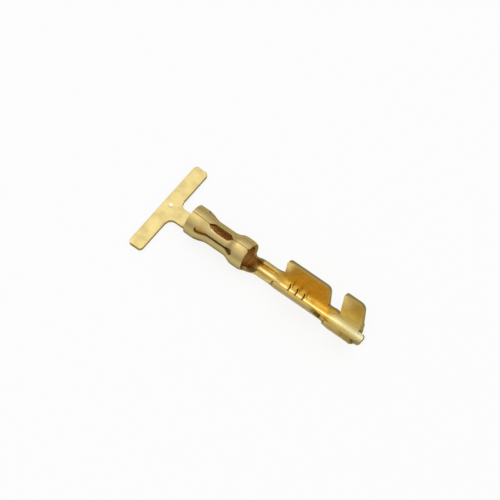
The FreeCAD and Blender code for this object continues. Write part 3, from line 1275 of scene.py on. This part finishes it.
@dataclass(frozen=True)
class PlatedBrass:
    """Gold-plated brass sheet: satin, mottled, with rolling grain, dull sheared edges, and painted
    shade, highlights and reflection.
    """

    shades: Shades = Shades()
    regions: Regions = Regions()
    satin: float = 0.27
    matte: float = 0.42
    crimped: float = 0.38
    cloud: float = 0.0011
    cloud_detail: float = 3.0
    mottle: float = 0.00052
    mottle_detail: float = 2.5
    grain: float = 0.00016
    grain_detail: float = 3.0
    even: Point = (1.0, 1.0, 1.0)
    rolled: Point = (1.0, 0.10, 0.10)
    grain_depth: float = 0.000012
    grain_strength: float = 0.2
    cut_roughness: float = 0.12
    clouds: Range = (0.35, 0.65)
    spots: tuple[float, ...] = (0.48, 0.80, 0.0, 0.45)
    patches: tuple[float, ...] = (0.25, 0.75, -0.06, 0.10)
    # Face attribute that carries the press marks and the painted shade and highlights.
    marks: str = "press_and_painted_light_mark"

    def colour(
        self, bench: NodeBench, mottle: bpy.types.NodeSocket, mark: bpy.types.NodeSocket
    ) -> bpy.types.NodeSocket:
        """Colour of the plating by region, with clouds, mottling and duller sheared edges, and
        painted light: shade low on the barrel, in the bore and grooves, highlights on the small
        mark and nipped corners, partly a reflection at the tail.

        Args:
            bench: where the nodes are set out.
            mottle: fine noise.
            mark: what was done to the face.

        Returns:
            The colour.
        """
        shades, regions = self.shades, self.regions
        x, y, z = (bench.along(axis) for axis in "XYZ")
        clouds = bench.noise(self.cloud, self.cloud_detail, self.even)
        colour = bench.blend(bench.spread(clouds, *self.clouds), shades.orange, shades.gold)
        colour = bench.blend(bench.spread(x, *regions.crimp), colour, shades.crimp)
        # Painted shade: the barrel goes darker olive towards its bottom.
        barrel = bench.blend(bench.spread(z, *regions.painted_flank_shade), shades.matte, shades.painted_flank_shade)
        colour = bench.blend(bench.spread(x, *regions.barrel), colour, barrel)
        # Painted shade: the throat's inner faces, within this radius, go darker orange.
        squares = [bench.math("MULTIPLY", side, side) for side in (y, z)]
        radius = bench.math("SQRT", bench.math("ADD", *squares), 0.0)
        throat = bench.math(
            "MULTIPLY", bench.spread(x, *regions.throat), bench.spread(x, *regions.throat_end)
        )
        throat = bench.math("MULTIPLY", bench.spread(radius, *regions.throat_radius), throat)
        colour = bench.blend(throat, colour, shades.inside)
        colour = bench.blend(bench.spread(x, *regions.strip), colour, shades.flash)
        colour = bench.blend(bench.spread(mottle, *self.spots), colour, shades.olive)
        # Partly painted reflection: the rear end goes paler cream towards the floor.
        tail = bench.math(
            "MULTIPLY", bench.spread(x, *regions.tail), bench.spread(z, *regions.tail_height)
        )
        colour = bench.blend(tail, colour, shades.tail)
        for before, after, shade in (
            (Mark.ROLLED, Mark.SHEARED, shades.sheared),
            # Painted shade in the grooves.
            (Mark.SHEARED, Mark.PAINTED_GROOVE_SHADE, shades.painted_groove_shade),
            # Painted highlight on the small mark and on the nipped corners.
            (Mark.ROLLED, Mark.PAINTED_HIGHLIGHT, shades.painted_highlight),
            # Painted shade on the bore's inner faces.
            (Mark.PAINTED_HIGHLIGHT, Mark.INNER, shades.inside),
        ):
            colour = bench.blend(bench.spread(mark, before.value, after.value), colour, shade)
        return colour

    def make(self) -> bpy.types.Material:
        """Build the material, with its colour, roughness and relief from nodes.

        Returns:
            The material.
        """
        material = bpy.data.materials.new("plated_brass")
        material.use_nodes = True
        bench = NodeBench(material.node_tree)
        links = material.node_tree.links
        shader = material.node_tree.nodes["Principled BSDF"]
        shader.inputs["Metallic"].default_value = 1.0
        shader.inputs["Specular Tint"].default_value = self.shades.grazing
        mottle = bench.noise(self.mottle, self.mottle_detail, self.even)
        grain = bench.noise(self.grain, self.grain_detail, self.rolled)
        mark = bench.node("ShaderNodeAttribute")
        mark.attribute_name = self.marks
        x = bench.along("X")
        rough = bench.spread(x, *self.regions.barrel, self.satin, self.matte)
        crimped = bench.spread(x, *self.regions.crimp, 0.0, self.crimped)
        rough = bench.math("MAXIMUM", rough, crimped)
        rough = bench.math("ADD", rough, bench.spread(mottle, *self.patches))
        cut = bench.spread(mark.outputs["Fac"], 0.0, 1.0, 0.0, self.cut_roughness)
        rough = bench.math("ADD", rough, cut)
        relief = bench.node(
            "ShaderNodeBump", Strength=self.grain_strength, Distance=self.grain_depth, Height=grain
        )
        links.new(self.colour(bench, mottle, mark.outputs["Fac"]), shader.inputs["Base Color"])
        links.new(rough, shader.inputs["Roughness"])
        links.new(relief.outputs["Normal"], shader.inputs["Normal"])
        return material


@dataclass(frozen=True)
class StudioFloor:
    """White sweep that the contact lies on."""

    level: float
    gap: float = 0.00001
    size: float = 0.6
    centre: float = 0.005
    colour: Colour = (0.95, 0.95, 0.95, 1.0)
    roughness: float = 0.9
    glow: float = 0.86

    def material(self) -> bpy.types.Material:
        """White floor: plain to the light, backlit to the eye and in the metal.

        Returns:
            The material.
        """
        material = bpy.data.materials.new("white_sweep")
        material.use_nodes = True
        tree = material.node_tree
        bench = NodeBench(tree)
        shader = tree.nodes["Principled BSDF"]
        shader.inputs["Base Color"].default_value = self.colour
        shader.inputs["Roughness"].default_value = self.roughness
        path = bench.node("ShaderNodeLightPath")
        seen = bench.math("MAXIMUM", path.outputs["Is Camera Ray"], path.outputs["Is Glossy Ray"])
        seen = bench.math("MAXIMUM", seen, path.outputs["Is Transmission Ray"])
        white = bench.node("ShaderNodeEmission", Color=(1, 1, 1, 1), Strength=1.0)
        mixer = tree.nodes.new("ShaderNodeMixShader")
        tree.links.new(bench.math("MULTIPLY", seen, self.glow), mixer.inputs["Fac"])
        tree.links.new(shader.outputs["BSDF"], mixer.inputs[1])
        tree.links.new(white.outputs["Emission"], mixer.inputs[2])
        tree.links.new(mixer.outputs["Shader"], tree.nodes["Material Output"].inputs["Surface"])
        return material

    def build(self) -> bpy.types.Object:
        """Lay the floor just under the contact, marked as stage.

        Returns:
            The floor.
        """
        clear_selection()
        bpy.ops.mesh.primitive_plane_add(
            size=self.size, location=(self.centre, 0, self.level - self.gap)
        )
        floor = bpy.context.object
        floor.name = "floor"
        bpy.ops.object.transform_apply(location=True, rotation=True, scale=True)
        floor.data.materials.append(self.material())
        floor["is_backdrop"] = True
        return floor


@dataclass
class Studio:
    """Camera, light tent and one soft box."""

    azimuth: float = 38.3238
    elevation: float = 61.379
    roll: float = -0.2976
    mouth: tuple[float, float] = (193.088, 218.737)
    scale: float = 17.3422
    lens: float = 600.0
    sensor: float = 36.0
    clip: tuple[float, float] = (0.01, 10.0)
    frame: float = 500.0
    roof: float = 1.05
    skirt: float = 0.16
    roof_edge: float = 0.9
    aim: Point = (0.005, 0.0, 0.0)
    key_place: Point = (-0.10, 0.02, 0.22)
    key_size: float = 0.12
    key_brightness: float = 1.2

    def camera(self) -> None:
        """Place the long lens so that the contact falls where it does in the photograph."""
        turn = math.radians(self.azimuth)
        tilt = math.radians(self.elevation)
        spin = math.radians(self.roll)
        flat = math.cos(tilt)
        back = Vector((math.sin(turn) * flat, -math.cos(turn) * flat, math.sin(tilt)))
        level = Vector((math.cos(turn), math.sin(turn), 0))
        rise = back.cross(level)
        right = level * math.cos(spin) + rise * math.sin(spin)
        up = rise * math.cos(spin) - level * math.sin(spin)
        millimetre = METRES / self.scale
        middle = right * (self.frame / 2 - self.mouth[0]) * millimetre
        middle += up * (self.mouth[1] - self.frame / 2) * millimetre
        distance = self.frame * millimetre * self.lens / self.sensor
        data = bpy.data.cameras.new("camera")
        data.lens = self.lens
        data.sensor_width = self.sensor
        data.clip_start, data.clip_end = self.clip
        camera = bpy.data.objects.new("camera", data)
        bpy.context.scene.collection.objects.link(camera)
        rotation = Matrix((right, up, back)).transposed().to_4x4()
        camera.matrix_world = Matrix.Translation(middle + back * distance) @ rotation
        bpy.context.scene.camera = camera

    def key(self) -> None:
        """Hang the soft box so that it faces the contact."""
        data = bpy.data.lights.new("key", "AREA")
        data.shape = "SQUARE"
        data.size = self.key_size
        data.energy = self.key_brightness * math.pi * self.key_size**2
        lamp = bpy.data.objects.new("key", data)
        bpy.context.scene.collection.objects.link(lamp)
        place = Vector(self.key_place)
        turn = (Vector(self.aim) - place).to_track_quat("-Z", "Y").to_matrix().to_4x4()
        lamp.matrix_world = Matrix.Translation(place) @ turn

    def tent(self) -> None:
        """Light tent: a bright roof that falls off to a darker skirt."""
        world = bpy.data.worlds.new("tent")
        bpy.context.scene.world = world
        world.use_nodes = True
        tree = world.node_tree
        bench = NodeBench(tree)
        place = bench.node("ShaderNodeTexCoord")
        parts = bench.node("ShaderNodeSeparateXYZ", Vector=place.outputs["Generated"])
        height = bench.spread(parts.outputs["Z"], 0.0, self.roof_edge, self.skirt, self.roof)
        background = tree.nodes["Background"]
        background.inputs["Color"].default_value = (1, 1, 1, 1)
        tree.links.new(height, background.inputs["Strength"])

    def build(self) -> None:
        """Set up the camera, the lights and the view."""
        self.camera()
        self.tent()
        self.key()
        bpy.context.scene.view_settings.view_transform = "Standard"


@dataclass
class SocketContact:
    """The whole stamping: barrel, channel and carrier as one skin."""

    sheet: Sheet = Sheet()
    finish: PlatedBrass = PlatedBrass()
    sharp: float = math.radians(50)
    smooth: float = math.radians(35)
    join_gap: float = 0.003

    def mark_faces(
        self, skin: bpy.types.Object, barrel: Barrel, channel: Channel, carrier: Carrier
    ) -> None:
        """Note on each face what the press did to it, and where shade or a highlight is painted.

        Args:
            skin: the thickened contact, whose rim faces have the second material.
            barrel: where the bore and the nipped corners are.
            channel: where the grooves are.
            carrier: where the small mark is.
        """
        marks = skin.data.attributes.new(self.finish.marks, "FLOAT", "FACE")
        for polygon in skin.data.polygons:
            mark = Mark.SHEARED if polygon.material_index else Mark.ROLLED
            # Groove faces are noted for painted shade.
            if channel.in_groove(polygon.center, channel.serration_marked):
                mark = Mark.PAINTED_GROOVE_SHADE
            # The small mark and the nipped corners are noted for a painted highlight.
            elif carrier.in_dimple(polygon.center):
                mark = Mark.PAINTED_HIGHLIGHT
            elif mark is Mark.SHEARED and barrel.on_notch(polygon.center):
                mark = Mark.PAINTED_HIGHLIGHT
            # Inner faces of the bore are noted for painted shade.
            elif mark is Mark.ROLLED and barrel.inside(polygon.center):
                mark = Mark.INNER
            marks.data[polygon.index].value = mark.value
            polygon.material_index = 0

    def break_edges(self, skin: bpy.types.Object, barrel: Barrel) -> None:
        """Break every sheared edge but those that butt along the seam.

        Args:
            skin: the thickened contact.
            barrel: where the seam is.
        """
        pick(skin)
        bpy.ops.object.mode_set(mode="EDIT")
        shape = bmesh.from_edit_mesh(skin.data)
        weight = shape.edges.layers.float.new("bevel_weight_edge")
        for edge in shape.edges:
            if edge.calc_face_angle(0.0) > self.sharp:
                butted = all(barrel.on_seam(vertex.co) for vertex in edge.verts)
                edge[weight] = 0.0 if butted else 1.0
        bmesh.update_edit_mesh(skin.data)
        bpy.ops.object.mode_set(mode="OBJECT")
        apply_modifier(
            skin, "BEVEL", width=self.sheet.edge_break, segments=2, limit_method="WEIGHT",
            use_clamp_overlap=False,
        )

    def settle(self, skin: bpy.types.Object, channel: Channel) -> None:
        """Press flat what the thickening left below the table or behind the tail.

        Args:
            skin: the thickened contact.
            channel: where the tail ends.
        """
        for vertex in skin.data.vertices:
            vertex.co.z = max(vertex.co.z, self.sheet.floor)
            vertex.co.x = min(vertex.co.x, channel.end)

    def build(self) -> bpy.types.Object:
        """Form the contact and dress it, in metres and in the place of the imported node.

        Returns:
            The dressed contact.
        """
        barrel = Barrel(self.sheet)
        channel = Channel(self.sheet, barrel)
        carrier = Carrier(self.sheet, barrel)
        patches = barrel.build() + channel.build() + carrier.build()
        skin = sew(patches, "contact_stamping", self.join_gap)
        for name in ("rolled", "cut"):
            skin.data.materials.append(bpy.data.materials.new(name))
        apply_modifier(
            skin, "SOLIDIFY", thickness=self.sheet.thickness, offset=0.0, use_even_offset=True,
            material_offset_rim=1,
        )
        channel.coin_serrations(skin)
        carrier.press_dimple(skin)
        self.break_edges(skin, barrel)
        self.settle(skin, channel)
        self.mark_faces(skin, barrel, channel, carrier)
        pick(skin)
        skin.scale = (METRES, METRES, METRES)
        bpy.ops.object.transform_apply(location=True, rotation=True, scale=True)
        bpy.ops.object.shade_smooth_by_angle(angle=self.smooth)
        skin.data.materials.clear()
        skin.data.materials.append(self.finish.make())
        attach(skin, Part.BODY.value)
        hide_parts(Part.NODE.value)
        return skin


def corners() -> list[list[float]]:
    """Lowest and highest corner of all that is shown, as plain lists."""
    return [[float(value) for value in corner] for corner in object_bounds()]


def main() -> None:
    """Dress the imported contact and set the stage."""
    logging.basicConfig(level=logging.INFO, format="%(message)s")
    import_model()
    contact = SocketContact().build()
    LOG.info("%s: %d faces", contact.name, len(contact.data.polygons))
    floor = StudioFloor(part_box(Part.NODE.value)[0].z).build()
    LOG.info("%s laid at %.4f m", floor.name, floor.data.vertices[0].co.z)
    Studio().build()


if __name__ == "__main__":
    main()
